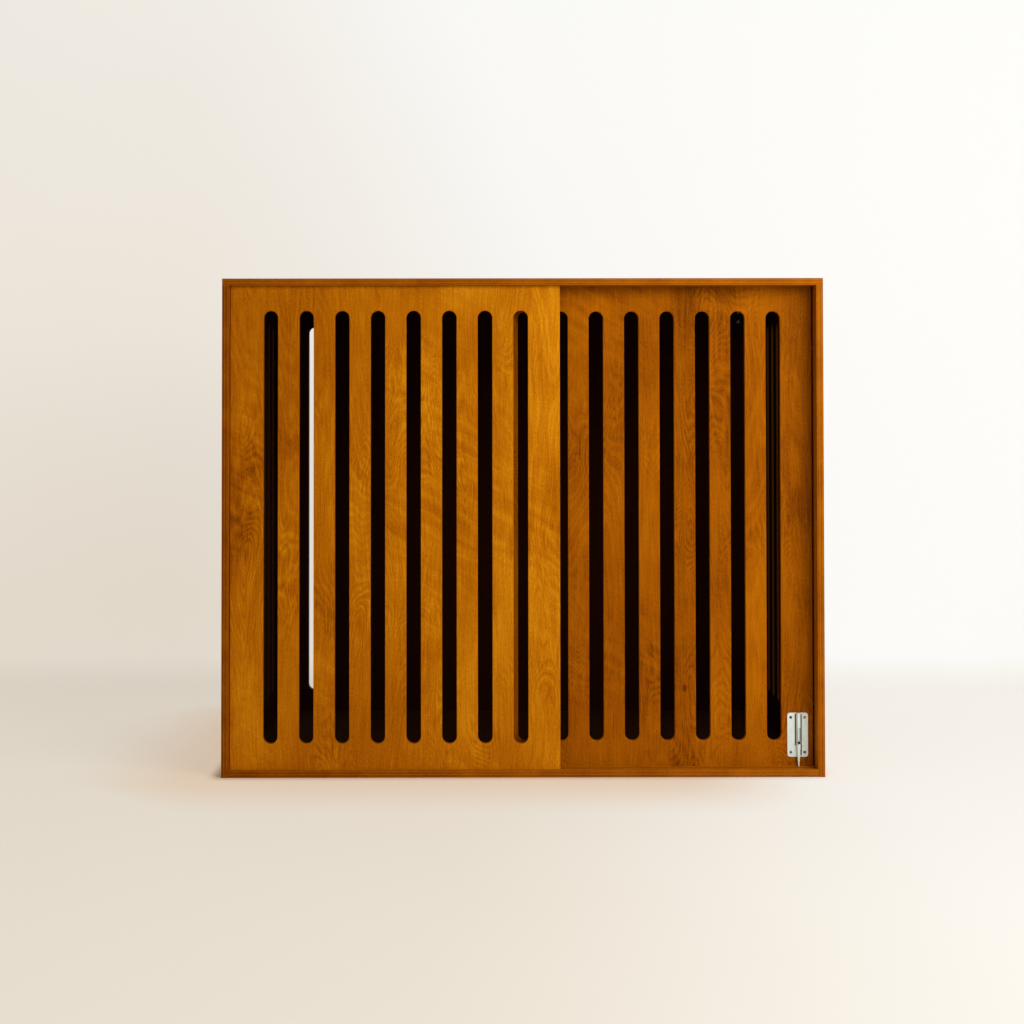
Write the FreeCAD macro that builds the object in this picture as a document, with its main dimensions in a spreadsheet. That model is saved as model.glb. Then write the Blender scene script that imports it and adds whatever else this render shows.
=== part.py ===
import FreeCAD, Part
import Sketcher
import math
import os

# A dog crate that serves as an end table: five plywood boards, two slotted doors that slide past
# each other in grooves, and a barrel bolt on the rear door. Millimetres, +Z up, -Y is the front.
# The origin is on the floor, under the middle of the case.

Vector = FreeCAD.Vector
Rotation = FreeCAD.Rotation
Constraint = Sketcher.Constraint

SIZES = {
    # the case
    "case_width": 1042,
    "case_height": 862,
    "case_depth": 610,
    "board_thickness": 12,
    "back_thickness": 12,
    "floor_lift": 1,
    "board_arris": 0.6,
    # slots, cut alike through doors, sides and back
    "slot_width": 25.4,
    "slot_pitch": 62,
    "slot_end_margin": 43.7,
    "slot_arris": 0.7,
    "side_slot_margin": 12,
    "back_slot_inset": 83,
    # doors
    "door_thickness": 12,
    "door_slots": 8,
    "door_arris": 0.8,
    "front_door_width": 572.3,
    "front_first_slot": 70.2,
    "rear_door_width": 556.5,
    "rear_first_slot": 67.5,
    "front_reveal": 8,
    "door_gap": 12.7,
    "front_door_gap": 1.2,
    "stop_gap": 3.2,
    # grooves that the doors run in
    "groove_play": 0.5,
    "foot_groove_depth": 4,
    "head_groove_depth": 7.5,
    "head_clearance": 4.5,
    # glides let into the doors' lower edges
    "glide_length": 30,
    "glide_width": 7,
    "glide_stand": 0.8,
    "glide_depth": 3,
    "glide_inset": 70,
    "seat_gap": 0.3,
    # rubber stops on the side boards, for the rear door
    "stop_root_radius": 5.5,
    "stop_tip_radius": 4.5,
    "stop_height": 120,
    # dowels
    "dowel_radius": 3,
    "dowel_face_depth": 8,
    "dowel_edge_depth": 22,
    "dowel_end_gap": 0.5,
    "dowel_inset": 55,
    "dowel_front_inset": 70,
    # brackets in the two top corners of the back, and their screws
    "bracket_leg": 42,
    "bracket_width": 16,
    "bracket_thickness": 2,
    "bracket_near_hole": 13,
    "bracket_far_hole": 33,
    "bracket_left_inset": 108,
    "bracket_right_inset": 56.8,
    "bracket_screw_radius": 1.6,
    "bracket_pilot_depth": 9,
    "bracket_shank_length": 10,
    "bracket_head_radius": 3.2,
    "bracket_crown_radius": 2.2,
    "bracket_head_height": 1.8,
    # barrel bolt
    "plate_width": 36,
    "plate_height": 76.5,
    "plate_thickness": 1.2,
    "plate_corner": 4.5,
    "plate_door_inset": 9,
    "plate_floor_gap": 15.8,
    "plate_hole_side": 5.9,
    "plate_hole_end": 8,
    "slit_width": 2.4,
    "slit_offset": 4.9,
    "slit_end_gap": 2,
    "left_slit_height": 55,
    "barrel_radius": 3.4,
    "barrel_wall": 0.5,
    "barrel_web": 2.6,
    "barrel_end_gap": 14,
    "barrel_offset": 1,
    "barrel_play": 0.07,
    "window_low": 23,
    "window_length": 27.7,
    "window_margin": 40,
    "knob_turn": 45,
    "rod_neck_radius": 1.9,
    "rod_nose_length": 13.2,
    "rod_nose_radius": 1.7,
    "rod_end_height": 4,
    "tip_radius": 1.3,
    "tip_bore_depth": 12,
    "tip_floor_gap": 0.4,
    "strike_hole_radius": 2,
    "strike_hole_depth": 9,
    "knob_radius": 2.2,
    "knob_shank_radius": 1.2,
    "knob_shank_depth": 1.6,
    "knob_door_gap": 1.4,
    "knob_rise": 2.7,
    "knob_chamfer": 0.5,
    "bolt_screw_radius": 1.5,
    "bolt_screw_length": 9,
    "bolt_head_radius": 2.6,
    # screws of both kinds, and the play round whatever is let into a hole
    "fit_play": 0.05,
    "recess_width": 0.8,
    "recess_span": 3.4,
    "recess_depth": 0.9,
    # how far a cutting tool runs past the face it starts from
    "cut_past": 1,
}

NEAR = 0.01  # edges closer than this to a face count as lying in it
LONG_EDGE = 50  # no hole or rounding has a straight edge as long as this

doc = FreeCAD.newDocument("dog_crate_end_table")
sheet = doc.addObject("Spreadsheet::Sheet", "Sizes")
for row_number, (alias, size) in enumerate(SIZES.items(), start=1):
    sheet.set("A%d" % row_number, alias)
    sheet.set("B%d" % row_number, str(size))
    sheet.setAlias("B%d" % row_number, alias)
doc.recompute()


def named(text):
    """The expression with each size's alias pointed at the sheet."""
    words = text.replace("(", " ( ").replace(")", " ) ").split()
    text = " ".join("Sizes." + word if word in SIZES else word for word in words)
    return text.replace("floor (", "floor(")


def both(first, sign, second):
    """Two expressions joined by a sign, each kept whole."""
    return "(%s) %s (%s)" % (first, sign, second)


# Places that more than one piece shares, as expressions of the sizes.
HALF_WIDTH = "case_width / 2"
FRONT = "0 - case_depth / 2"
BACK = "case_depth / 2"
INNER_HALF = "case_width / 2 - board_thickness"
INNER_BACK = "case_depth / 2 - back_thickness"
FLOOR = "floor_lift + board_thickness"
CEILING = "case_height - board_thickness"
SLOT_LOW = both(FLOOR, "+", "slot_end_margin")
SLOT_HIGH = both(CEILING, "-", "slot_end_margin")
FRONT_FACE = both(FRONT, "+", "front_reveal")
REAR_FACE = both(FRONT_FACE, "+", "door_thickness + door_gap")
SIDE_FRONT = both(REAR_FACE, "+", "door_thickness")
SIDE_SPACE = both(INNER_BACK, "-", SIDE_FRONT)
SIDE_SLOTS = "floor((%s) / slot_pitch) + 1" % both(SIDE_SPACE, "-", "slot_width + 2 * side_slot_margin")
SIDE_ROW = "(%s) * slot_pitch" % both(SIDE_SLOTS, "-", "1")
SIDE_FIRST_SLOT = both(SIDE_FRONT, "+", "(%s) / 2" % both(SIDE_SPACE, "-", SIDE_ROW))
DOOR_FOOT = both(FLOOR, "-", "foot_groove_depth - glide_stand - seat_gap")
DOOR_HEAD = both(CEILING, "+", "head_groove_depth - head_clearance")
FRONT_DOOR_LEFT = both("0", "-", both(INNER_HALF, "-", "front_door_gap"))
REAR_DOOR_RIGHT = both(INNER_HALF, "-", "stop_gap")
REAR_DOOR_LEFT = both(REAR_DOOR_RIGHT, "-", "rear_door_width")
REAR_FIRST_SLOT = "rear_door_width - rear_first_slot - slot_pitch * (door_slots - 1)"
PLATE_RIGHT = both(REAR_DOOR_RIGHT, "-", "plate_door_inset")
PLATE_FOOT = both(FLOOR, "+", "plate_floor_gap")
PLATE_HEAD = both(PLATE_FOOT, "+", "plate_height")
PLATE_FACE = both(REAR_FACE, "-", "plate_thickness")
BOLT_X = both(PLATE_RIGHT, "-", "plate_width / 2 - barrel_offset")
BOLT_Y = both(REAR_FACE, "-", "plate_thickness + barrel_radius")
WINDOW_FOOT = both(PLATE_FOOT, "+", "window_low")
KNOB_Z = both(WINDOW_FOOT, "+", "knob_rise")
ROD_RADIUS = "barrel_radius - barrel_wall - barrel_play"
ROD_FOOT = both(PLATE_FOOT, "+", "rod_end_height")
NOSE_FOOT = both(ROD_FOOT, "-", "rod_nose_length")
KNOB_ROOT = both(BOLT_Y, "-", "rod_neck_radius - knob_shank_depth")


# ---------------------------------------------------------------- PartDesign helpers

def make_body(name, x="0", y="0", z="0"):
    body = doc.addObject("PartDesign::Body", name)
    body.Label = name
    for axis, start in zip("xyz", (x, y, z)):
        body.setExpression("Placement.Base." + axis, named(start))
    return body


def sketch_on(body, role, name, level="0"):
    """A sketch on one of the body's own planes, moved along the plane's normal to a level."""
    plane = [item for item in body.Origin.OriginFeatures if item.Role == role][0]
    sketch = body.newObject("Sketcher::SketchObject", name)
    sketch.AttachmentSupport = (plane, [""])
    sketch.MapMode = "FlatFace"
    sketch.setExpression("AttachmentOffset.Base.z", named(level))
    return sketch


def bind(sketch, kind, places, text):
    """Adds a dimension to the sketch and ties it to an expression."""
    number = sketch.addConstraint(Constraint(kind, *places, evaluate(text)))
    name = "size_%d" % number
    sketch.renameConstraint(number, name)
    sketch.setExpression("Constraints." + name, named(text))


def pin_point(sketch, edge, end, across, up):
    """Fixes one end (or the centre) of an edge by its distances from the sketch's origin."""
    bind(sketch, "DistanceX", (-1, 1, edge, end), across)
    bind(sketch, "DistanceY", (-1, 1, edge, end), up)


def outline(sketch, corners):
    """A closed outline of straight edges through corners given as pairs of expressions."""
    points = [Vector(evaluate(across), evaluate(up), 0) for across, up in corners]
    edges = []
    for index, corner in enumerate(corners):
        line = Part.LineSegment(points[index], points[(index + 1) % len(points)])
        edge = sketch.addGeometry(line, False)
        pin_point(sketch, edge, 1, *corner)
        edges.append(edge)
    for index, edge in enumerate(edges):
        sketch.addConstraint(Constraint("Coincident", edge, 2, edges[(index + 1) % len(edges)], 1))


def evaluate(text):
    """The value of an expression of the sizes, as the sheet has them now."""
    return float(sheet.evalExpression(named(text)))


def rectangle(sketch, left, right, low, high):
    outline(sketch, [(left, low), (right, low), (right, high), (left, high)])


def circles(sketch, centres, radius):
    for across, up in centres:
        middle = Vector(evaluate(across), evaluate(up), 0)
        ring = sketch.addGeometry(Part.Circle(middle, Vector(0, 0, 1), evaluate(radius)), False)
        pin_point(sketch, ring, 3, across, up)
        bind(sketch, "Radius", (ring,), radius)


def round_slot(sketch, centre, low, high, width):
    """An upright slot with half-round ends: two straight edges and two arcs."""
    middle = evaluate(centre)
    radius = evaluate(width) / 2
    foot = evaluate(low) + radius
    head = evaluate(high) - radius
    normal = Vector(0, 0, 1)
    top = Part.ArcOfCircle(Part.Circle(Vector(middle, head, 0), normal, radius), 0, math.pi)
    bottom = Part.ArcOfCircle(Part.Circle(Vector(middle, foot, 0), normal, radius), math.pi, 2 * math.pi)
    left = Part.LineSegment(Vector(middle - radius, head, 0), Vector(middle - radius, foot, 0))
    right = Part.LineSegment(Vector(middle + radius, foot, 0), Vector(middle + radius, head, 0))
    arc_high = sketch.addGeometry(top, False)
    side_left = sketch.addGeometry(left, False)
    arc_low = sketch.addGeometry(bottom, False)
    side_right = sketch.addGeometry(right, False)
    sketch.addConstraint(Constraint("Tangent", arc_high, 2, side_left, 1))
    sketch.addConstraint(Constraint("Tangent", side_left, 2, arc_low, 1))
    sketch.addConstraint(Constraint("Tangent", arc_low, 2, side_right, 1))
    sketch.addConstraint(Constraint("Tangent", side_right, 2, arc_high, 1))
    pin_point(sketch, arc_high, 3, centre, both(high, "-", both(width, "/", "2")))
    pin_point(sketch, arc_low, 3, centre, both(low, "+", both(width, "/", "2")))
    bind(sketch, "Radius", (arc_high,), both(width, "/", "2"))


def pad(body, sketch, length, backwards=False):
    feature = body.newObject("PartDesign::Pad", sketch.Name + "_pad")
    feature.Profile = sketch
    feature.Reversed = backwards
    feature.setExpression("Length", named(length))
    body.Tip = feature
    doc.recompute()
    return feature


def pocket(body, sketch, depth, backwards=False):
    """Cuts the sketch into the body, and makes sure that it did cut."""
    before = body.Shape.Volume
    feature = body.newObject("PartDesign::Pocket", sketch.Name + "_cut")
    feature.Profile = sketch
    feature.Reversed = backwards
    feature.setExpression("Length", named(depth))
    body.Tip = feature
    doc.recompute()
    if body.Shape.Volume >= before:
        raise RuntimeError(sketch.Name + " cuts nothing")
    return feature


def repeat(body, feature, sketch, count, pitch):
    """A row of the feature along the sketch's horizontal axis."""
    pattern = body.newObject("PartDesign::LinearPattern", feature.Name + "_row")
    pattern.Originals = [feature]
    pattern.Direction = (sketch, ["H_Axis"])
    pattern.Mode = "Spacing"
    pattern.setExpression("Offset", named(pitch))
    pattern.setExpression("Occurrences", named(count))
    body.Tip = pattern
    doc.recompute()
    return pattern


def drill(body, name, role, level, centres, radius, depth, backwards=False):
    sketch = sketch_on(body, role, name, level)
    circles(sketch, centres, radius)
    return pocket(body, sketch, depth, backwards)


def round_edges(body, name, radius, wanted):
    """Rounds every edge of the body for which wanted(box of the edge) is true."""
    base = body.Tip
    shape = base.Shape
    picked = []
    for number, edge in enumerate(shape.Edges, start=1):
        if wanted(edge.BoundBox):
            picked.append("Edge%d" % number)
    if not picked:
        raise RuntimeError(name + " finds no edge")
    fillet = body.newObject("PartDesign::Fillet", name)
    fillet.Base = (base, picked)
    fillet.setExpression("Radius", named(radius))
    body.Tip = fillet
    doc.recompute()
    return fillet


def span(box, letter):
    return getattr(box, letter + "Min"), getattr(box, letter + "Max")


def lies_at(box, letter, levels):
    """Whether a box is flat along an axis and stands at one of the given levels of it."""
    low, high = span(box, letter)
    return high - low < NEAR and any(abs(low - level) < NEAR for level in levels)


def round_slot_rims(body, name, across, normal):
    """Rounds the rims of a board's slots on both faces; across and normal are letters of axes."""
    board = body.Tip.Shape.BoundBox
    start, end = span(board, across)
    width = evaluate("slot_width")

    def rim(box):
        low, high = span(box, across)
        inside = low > start + NEAR and high < end - NEAR
        half_ring = abs(high - low - width) < NEAR
        return inside and lies_at(box, normal, span(board, normal)) and (box.ZLength > LONG_EDGE or half_ring)

    round_edges(body, name, "slot_arris", rim)


# ---------------------------------------------------------------- Part helpers

AXIS_TURNS = {
    "+z": Rotation(),
    "-z": Rotation(Vector(1, 0, 0), 180),
    "+x": Rotation(Vector(0, 1, 0), 90),
    "-x": Rotation(Vector(0, 1, 0), -90),
    "+y": Rotation(Vector(1, 0, 0), -90),
    "-y": Rotation(Vector(1, 0, 0), 90),
}


def place(item, x="0", y="0", z="0", axis="+z"):
    item.Placement = FreeCAD.Placement(Vector(), AXIS_TURNS[axis])
    for letter, text in zip("xyz", (x, y, z)):
        item.setExpression("Placement.Base." + letter, named(text))
    return item


def cylinder(name, radius, height, **where):
    item = doc.addObject("Part::Cylinder", name)
    item.setExpression("Radius", named(radius))
    item.setExpression("Height", named(height))
    return place(item, **where)


def cone(name, foot_radius, head_radius, height, **where):
    item = doc.addObject("Part::Cone", name)
    item.setExpression("Radius1", named(foot_radius))
    item.setExpression("Radius2", named(head_radius))
    item.setExpression("Height", named(height))
    return place(item, **where)


def block(name, length, width, height, **where):
    item = doc.addObject("Part::Box", name)
    item.setExpression("Length", named(length))
    item.setExpression("Width", named(width))
    item.setExpression("Height", named(height))
    return place(item, **where)


def fuse(name, items):
    whole = doc.addObject("Part::MultiFuse", name)
    whole.Shapes = items
    return whole


def cut(name, base, tool):
    rest = doc.addObject("Part::Cut", name)
    rest.Base = base
    rest.Tool = tool
    return rest


def group(name, items):
    """Separate solids kept together as one sub-part."""
    whole = doc.addObject("Part::Compound", name)
    whole.Label = name
    whole.Links = items
    return whole


# ---------------------------------------------------------------- rows of places

def spread(first, last, count):
    """Evenly spaced places from first to last, both given as expressions."""
    steps = count - 1
    places = []
    for index in range(count):
        share = "(%s) * %d / %d" % (both(last, "-", first), index, steps)
        places.append(both(first, "+", share))
    return places


DOWELS_PER_BOARD_END = 5
DOWEL_ROWS = spread(both(FRONT, "+", "dowel_front_inset"), both(BACK, "-", "dowel_inset"),
                    DOWELS_PER_BOARD_END)
DOWEL_LEVELS = spread(both(FLOOR, "+", "dowel_inset"), both(CEILING, "-", "dowel_inset"),
                      DOWELS_PER_BOARD_END)
EDGE_X = "case_width / 2 - board_thickness / 2"
BOTTOM_MIDDLE = "floor_lift + board_thickness / 2"
BACK_MIDDLE = "case_depth / 2 - back_thickness / 2"
MINUS = "0 - (%s)"
SIDES = (("left", MINUS % EDGE_X), ("right", EDGE_X))

BRACKET_PLACES = {
    "left": both(MINUS % INNER_HALF, "+", "bracket_left_inset"),
    "right": both(INNER_HALF, "-", "bracket_right_inset"),
}
BRACKET_REACHES = ("bracket_near_hole", "bracket_far_hole")


# ---------------------------------------------------------------- the case

def door_grooves(body, depth, level, backwards):
    """The two grooves across a board that the doors run in."""
    for name, face in (("front", FRONT_FACE), ("rear", REAR_FACE)):
        sketch = sketch_on(body, "XY_Plane", body.Name + "_" + name + "_groove", level)
        near = both(face, "-", "groove_play")
        far = both(face, "+", "door_thickness + groove_play")
        rectangle(sketch, MINUS % INNER_HALF, INNER_HALF, near, far)
        pocket(body, sketch, depth, backwards)


def make_top():
    body = make_body("top_panel", z=CEILING)
    board = sketch_on(body, "XY_Plane", "top_outline")
    rectangle(board, MINUS % HALF_WIDTH, HALF_WIDTH, FRONT, BACK)
    pad(body, board, "board_thickness")
    door_grooves(body, "head_groove_depth", "0", True)
    holes = [(x, y) for _, x in SIDES for y in DOWEL_ROWS]
    drill(body, "top_dowel_holes", "XY_Plane", "0", holes,
          "dowel_radius + fit_play", "dowel_face_depth", True)
    pilots = [(x, both(INNER_BACK, "-", reach)) for x in BRACKET_PLACES.values() for reach in BRACKET_REACHES]
    drill(body, "top_pilot_holes", "XY_Plane", "0", pilots,
          "bracket_screw_radius + fit_play", "bracket_pilot_depth", True)
    whole = body.Tip.Shape.BoundBox

    def outer_edge(box):
        return lies_at(box, "X", span(whole, "X")) or lies_at(box, "Y", span(whole, "Y"))

    round_edges(body, "top_arris", "board_arris", outer_edge)
    return body


def make_bottom():
    body = make_body("bottom_panel", z="floor_lift")
    board = sketch_on(body, "XY_Plane", "bottom_outline")
    rectangle(board, MINUS % INNER_HALF, INNER_HALF, FRONT, BACK)
    pad(body, board, "board_thickness")
    door_grooves(body, "foot_groove_depth", "board_thickness", False)
    ends = (("left", MINUS % INNER_HALF, True), ("right", INNER_HALF, False))
    for name, end, backwards in ends:
        holes = [(y, "board_thickness / 2") for y in DOWEL_ROWS]
        drill(body, "bottom_%s_dowel_holes" % name, "YZ_Plane", end, holes,
              "dowel_radius + fit_play", "dowel_edge_depth", backwards)
    drill(body, "strike_hole", "XY_Plane", "board_thickness", [(BOLT_X, BOLT_Y)],
          "strike_hole_radius", "strike_hole_depth")
    whole = body.Tip.Shape.BoundBox

    def long_edge(box):
        return box.XLength > LONG_EDGE and lies_at(box, "Y", span(whole, "Y"))

    round_edges(body, "bottom_arris", "board_arris", long_edge)
    return body


def make_side(side, left):
    body = make_body(side + "_side_panel", x=left)
    board = sketch_on(body, "YZ_Plane", side + "_outline")
    rectangle(board, FRONT, BACK, "0", CEILING)
    pad(body, board, "board_thickness")
    slot = sketch_on(body, "YZ_Plane", side + "_slot", "board_thickness")
    round_slot(slot, SIDE_FIRST_SLOT, SLOT_LOW, SLOT_HIGH, "slot_width")
    first = pocket(body, slot, "board_thickness")
    repeat(body, first, slot, SIDE_SLOTS, "slot_pitch")
    on_left = side == "left"
    inner_face = "board_thickness" if on_left else "0"
    drill(body, side + "_top_dowel_holes", "XY_Plane", CEILING,
          [("board_thickness / 2", y) for y in DOWEL_ROWS],
          "dowel_radius + fit_play", "dowel_edge_depth")
    drill(body, side + "_bottom_dowel_holes", "YZ_Plane", inner_face,
          [(y, BOTTOM_MIDDLE) for y in DOWEL_ROWS],
          "dowel_radius + fit_play", "dowel_face_depth", not on_left)
    drill(body, side + "_back_dowel_holes", "YZ_Plane", inner_face,
          [(BACK_MIDDLE, z) for z in DOWEL_LEVELS],
          "dowel_radius + fit_play", "dowel_face_depth", not on_left)
    front = evaluate(FRONT)

    def front_edge(box):
        return box.ZLength > LONG_EDGE and lies_at(box, "Y", [front])

    round_slot_rims(body, side + "_slot_arris", "Y", "X")
    round_edges(body, side + "_arris", "board_arris", front_edge)
    return body


def make_back():
    body = make_body("back_panel", y=INNER_BACK)
    board = sketch_on(body, "XZ_Plane", "back_outline")
    rectangle(board, MINUS % INNER_HALF, INNER_HALF, FLOOR, CEILING)
    pad(body, board, "back_thickness", True)
    slot = sketch_on(body, "XZ_Plane", "back_slot")
    round_slot(slot, both(MINUS % INNER_HALF, "+", "back_slot_inset"), SLOT_LOW, SLOT_HIGH, "slot_width")
    pocket(body, slot, "back_thickness")
    ends = (("left", MINUS % INNER_HALF, True), ("right", INNER_HALF, False))
    for name, end, backwards in ends:
        holes = [("back_thickness / 2", z) for z in DOWEL_LEVELS]
        drill(body, "back_%s_dowel_holes" % name, "YZ_Plane", end, holes,
              "dowel_radius + fit_play", "dowel_edge_depth", backwards)
    pilots = [(x, both(CEILING, "-", reach)) for x in BRACKET_PLACES.values() for reach in BRACKET_REACHES]
    drill(body, "back_pilot_holes", "XZ_Plane", "0", pilots,
          "bracket_screw_radius + fit_play", "bracket_pilot_depth")
    round_slot_rims(body, "back_slot_arris", "X", "Y")
    return body


# ---------------------------------------------------------------- doors

def make_door(name, face, left, width, first_slot):
    body = make_body(name, x=left, y=face)
    board = sketch_on(body, "XZ_Plane", name + "_outline")
    rectangle(board, "0", width, DOOR_FOOT, DOOR_HEAD)
    pad(body, board, "door_thickness", True)
    slot = sketch_on(body, "XZ_Plane", name + "_slot")
    round_slot(slot, first_slot, SLOT_LOW, SLOT_HIGH, "slot_width")
    first = pocket(body, slot, "door_thickness")
    repeat(body, first, slot, "door_slots", "slot_pitch")
    recess = sketch_on(body, "XY_Plane", name + "_glide_recess", DOOR_FOOT)
    near = "door_thickness / 2 - glide_width / 2 - fit_play"
    far = "door_thickness / 2 + glide_width / 2 + fit_play"
    for middle in glide_places(width):
        low = both(middle, "-", "glide_length / 2 + fit_play")
        high = both(middle, "+", "glide_length / 2 + fit_play")
        rectangle(recess, low, high, near, far)
    pocket(body, recess, "glide_depth", True)
    if name == "rear_door_panel":
        drill_bolt_pilots(body)
    whole = body.Tip.Shape.BoundBox

    def upright_edge(box):
        return box.ZLength > LONG_EDGE and lies_at(box, "X", span(whole, "X"))

    round_slot_rims(body, name + "_slot_arris", "X", "Y")
    round_edges(body, name + "_arris", "door_arris", upright_edge)
    return body


def glide_places(width):
    return ["glide_inset", both(width, "-", "glide_inset")]


def drill_bolt_pilots(body):
    """Pilot holes of the bolt's screws, in the rear door's own frame."""
    holes = []
    for across, up in bolt_screw_places():
        holes.append((both(across, "-", REAR_DOOR_LEFT), up))
    drill(body, "bolt_pilot_holes", "XZ_Plane", "0", holes,
          "bolt_screw_radius + fit_play", "bolt_screw_length")


def make_glides(name, face, left, width):
    pads = []
    for index, middle in enumerate(glide_places(width)):
        body = make_body("%s_%d" % (name, index + 1), x=left, y=face)
        sketch = sketch_on(body, "XY_Plane", "%s_outline_%d" % (name, index + 1),
                           both(DOOR_FOOT, "-", "glide_stand"))
        rectangle(sketch, both(middle, "-", "glide_length / 2"), both(middle, "+", "glide_length / 2"),
                  "door_thickness / 2 - glide_width / 2", "door_thickness / 2 + glide_width / 2")
        pad(body, sketch, "glide_stand + glide_depth - fit_play")
        pads.append(body)
    return group(name, pads)


# ---------------------------------------------------------------- small fittings of the case

def make_stops(side, wall, axis):
    """Rubber stops where the rear door meets a side board, at two heights."""
    stops = []
    for index, level in enumerate(("stop_height", both("case_height", "-", "stop_height"))):
        stops.append(cone("%s_stop_%d" % (side, index + 1), "stop_root_radius", "stop_tip_radius",
                          "stop_gap - seat_gap", x=wall, y=both(REAR_FACE, "+", "door_thickness / 2"),
                          z=level, axis=axis))
    return group(side + "_stops", stops)


def make_dowels():
    length = "dowel_face_depth + dowel_edge_depth - 2 * dowel_end_gap"
    top_start = both(CEILING, "-", "dowel_edge_depth - dowel_end_gap")
    top_pegs = []
    bottom_pegs = []
    back_pegs = []
    for side, middle in SIDES:
        for index, depth in enumerate(DOWEL_ROWS):
            top_pegs.append(cylinder("top_dowel_%s_%d" % (side, index), "dowel_radius", length,
                                     x=middle, y=depth, z=top_start))
    reach = both(INNER_HALF, "-", "dowel_edge_depth - dowel_end_gap")
    for side, start, axis in (("left", MINUS % reach, "-x"), ("right", reach, "+x")):
        for index, depth in enumerate(DOWEL_ROWS):
            bottom_pegs.append(cylinder("bottom_dowel_%s_%d" % (side, index), "dowel_radius", length,
                                        x=start, y=depth, z=BOTTOM_MIDDLE, axis=axis))
        for index, level in enumerate(DOWEL_LEVELS):
            back_pegs.append(cylinder("back_dowel_%s_%d" % (side, index), "dowel_radius", length,
                                      x=start, y=BACK_MIDDLE, z=level, axis=axis))
    return [group("top_dowels", top_pegs), group("bottom_dowels", bottom_pegs),
            group("back_dowels", back_pegs)]


def make_bracket(name, across):
    """A steel angle in the corner of the back board and the top board."""
    body = make_body(name, x=both(across, "-", "bracket_width / 2"), y=INNER_BACK, z=CEILING)
    sketch = sketch_on(body, "YZ_Plane", name + "_profile")
    leg = "0 - bracket_leg"
    skin = "0 - bracket_thickness"
    outline(sketch, [("0", "0"), ("0", leg), (skin, leg), (skin, skin), (leg, skin), (leg, "0")])
    pad(body, sketch, "bracket_width")
    holes = [("bracket_width / 2", MINUS % reach) for reach in BRACKET_REACHES]
    drill(body, name + "_wall_holes", "XZ_Plane", "bracket_thickness", holes,
          "bracket_screw_radius + fit_play", "bracket_thickness")
    drill(body, name + "_board_holes", "XY_Plane", skin, holes,
          "bracket_screw_radius + fit_play", "bracket_thickness", True)
    return body


def pan_screw(name, **where):
    """A pan-head screw with a cross recess; its head's underside is at its own origin."""
    head = cone(name + "_head", "bracket_head_radius", "bracket_crown_radius", "bracket_head_height")
    shank = cylinder(name + "_shank", "bracket_screw_radius", "bracket_shank_length", axis="-z")
    whole = fuse(name + "_whole", [head, shank])
    screw = cut(name, whole, cross_recess(name, "bracket_head_height"))
    return place(screw, **where)


def cross_recess(name, top):
    blades = []
    sections = (("recess_span", "recess_width"), ("recess_width", "recess_span"))
    for index, (length, width) in enumerate(sections):
        blades.append(block("%s_blade_%d" % (name, index), length, width, "recess_depth + cut_past",
                            x=MINUS % (length + " / 2"), y=MINUS % (width + " / 2"),
                            z=both(top, "-", "recess_depth")))
    return fuse(name + "_recess", blades)


def make_brackets():
    angles = []
    wall_screws = []
    board_screws = []
    for side, across in BRACKET_PLACES.items():
        name = side + "_bracket"
        angles.append(make_bracket(name, across))
        for index, reach in enumerate(BRACKET_REACHES):
            wall_screws.append(pan_screw("%s_wall_screw_%d" % (name, index), x=across,
                                         y=both(INNER_BACK, "-", "bracket_thickness"),
                                         z=both(CEILING, "-", reach), axis="-y"))
            board_screws.append(pan_screw("%s_board_screw_%d" % (name, index), x=across,
                                          y=both(INNER_BACK, "-", reach),
                                          z=both(CEILING, "-", "bracket_thickness"), axis="-z"))
    return [group("corner_brackets", angles), group("bracket_wall_screws", wall_screws),
            group("bracket_board_screws", board_screws)]


# ---------------------------------------------------------------- the barrel bolt

def bolt_screw_places():
    """Centres of the base plate's four screws, as seen from the front."""
    left = both(PLATE_RIGHT, "-", "plate_width - plate_hole_side")
    right = both(PLATE_RIGHT, "-", "plate_hole_side")
    low = both(PLATE_FOOT, "+", "plate_hole_end")
    high = both(PLATE_HEAD, "-", "plate_hole_end")
    return [(left, low), (right, low), (left, high), (right, high)]


def make_plate():
    """The base plate, with a slit on either side of the barrel."""
    body = make_body("bolt_plate_blank", y=REAR_FACE)
    sketch = sketch_on(body, "XZ_Plane", "plate_outline")
    rectangle(sketch, both(PLATE_RIGHT, "-", "plate_width"), PLATE_RIGHT, PLATE_FOOT, PLATE_HEAD)
    pad(body, sketch, "plate_thickness")

    def corner(box):
        return box.XLength < NEAR and box.ZLength < NEAR

    round_edges(body, "plate_corners", "plate_corner", corner)
    slits = sketch_on(body, "XZ_Plane", "plate_slits")
    slit_head = both(PLATE_HEAD, "-", "slit_end_gap")
    round_slot(slits, both(BOLT_X, "-", "slit_offset"), both(slit_head, "-", "left_slit_height"), slit_head,
               "slit_width")
    round_slot(slits, both(BOLT_X, "+", "slit_offset"), both(PLATE_FOOT, "+", "slit_end_gap"), slit_head,
               "slit_width")
    pocket(body, slits, "plate_thickness", True)
    seats = []
    for index, (across, up) in enumerate(bolt_screw_places()):
        seats.append(cone("plate_seat_%d" % index, "bolt_head_radius + fit_play",
                          "bolt_screw_radius + fit_play", "plate_thickness",
                          x=across, y=PLATE_FACE, z=up, axis="+y"))
        seats.append(cylinder("plate_hole_%d" % index, "bolt_screw_radius + fit_play",
                              "2 * plate_thickness", x=across, y=PLATE_FACE, z=up, axis="+y"))
    plate = cut("bolt_base_plate", body, fuse("plate_seats", seats))
    plate.Label = "bolt_base_plate"
    return plate


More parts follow.
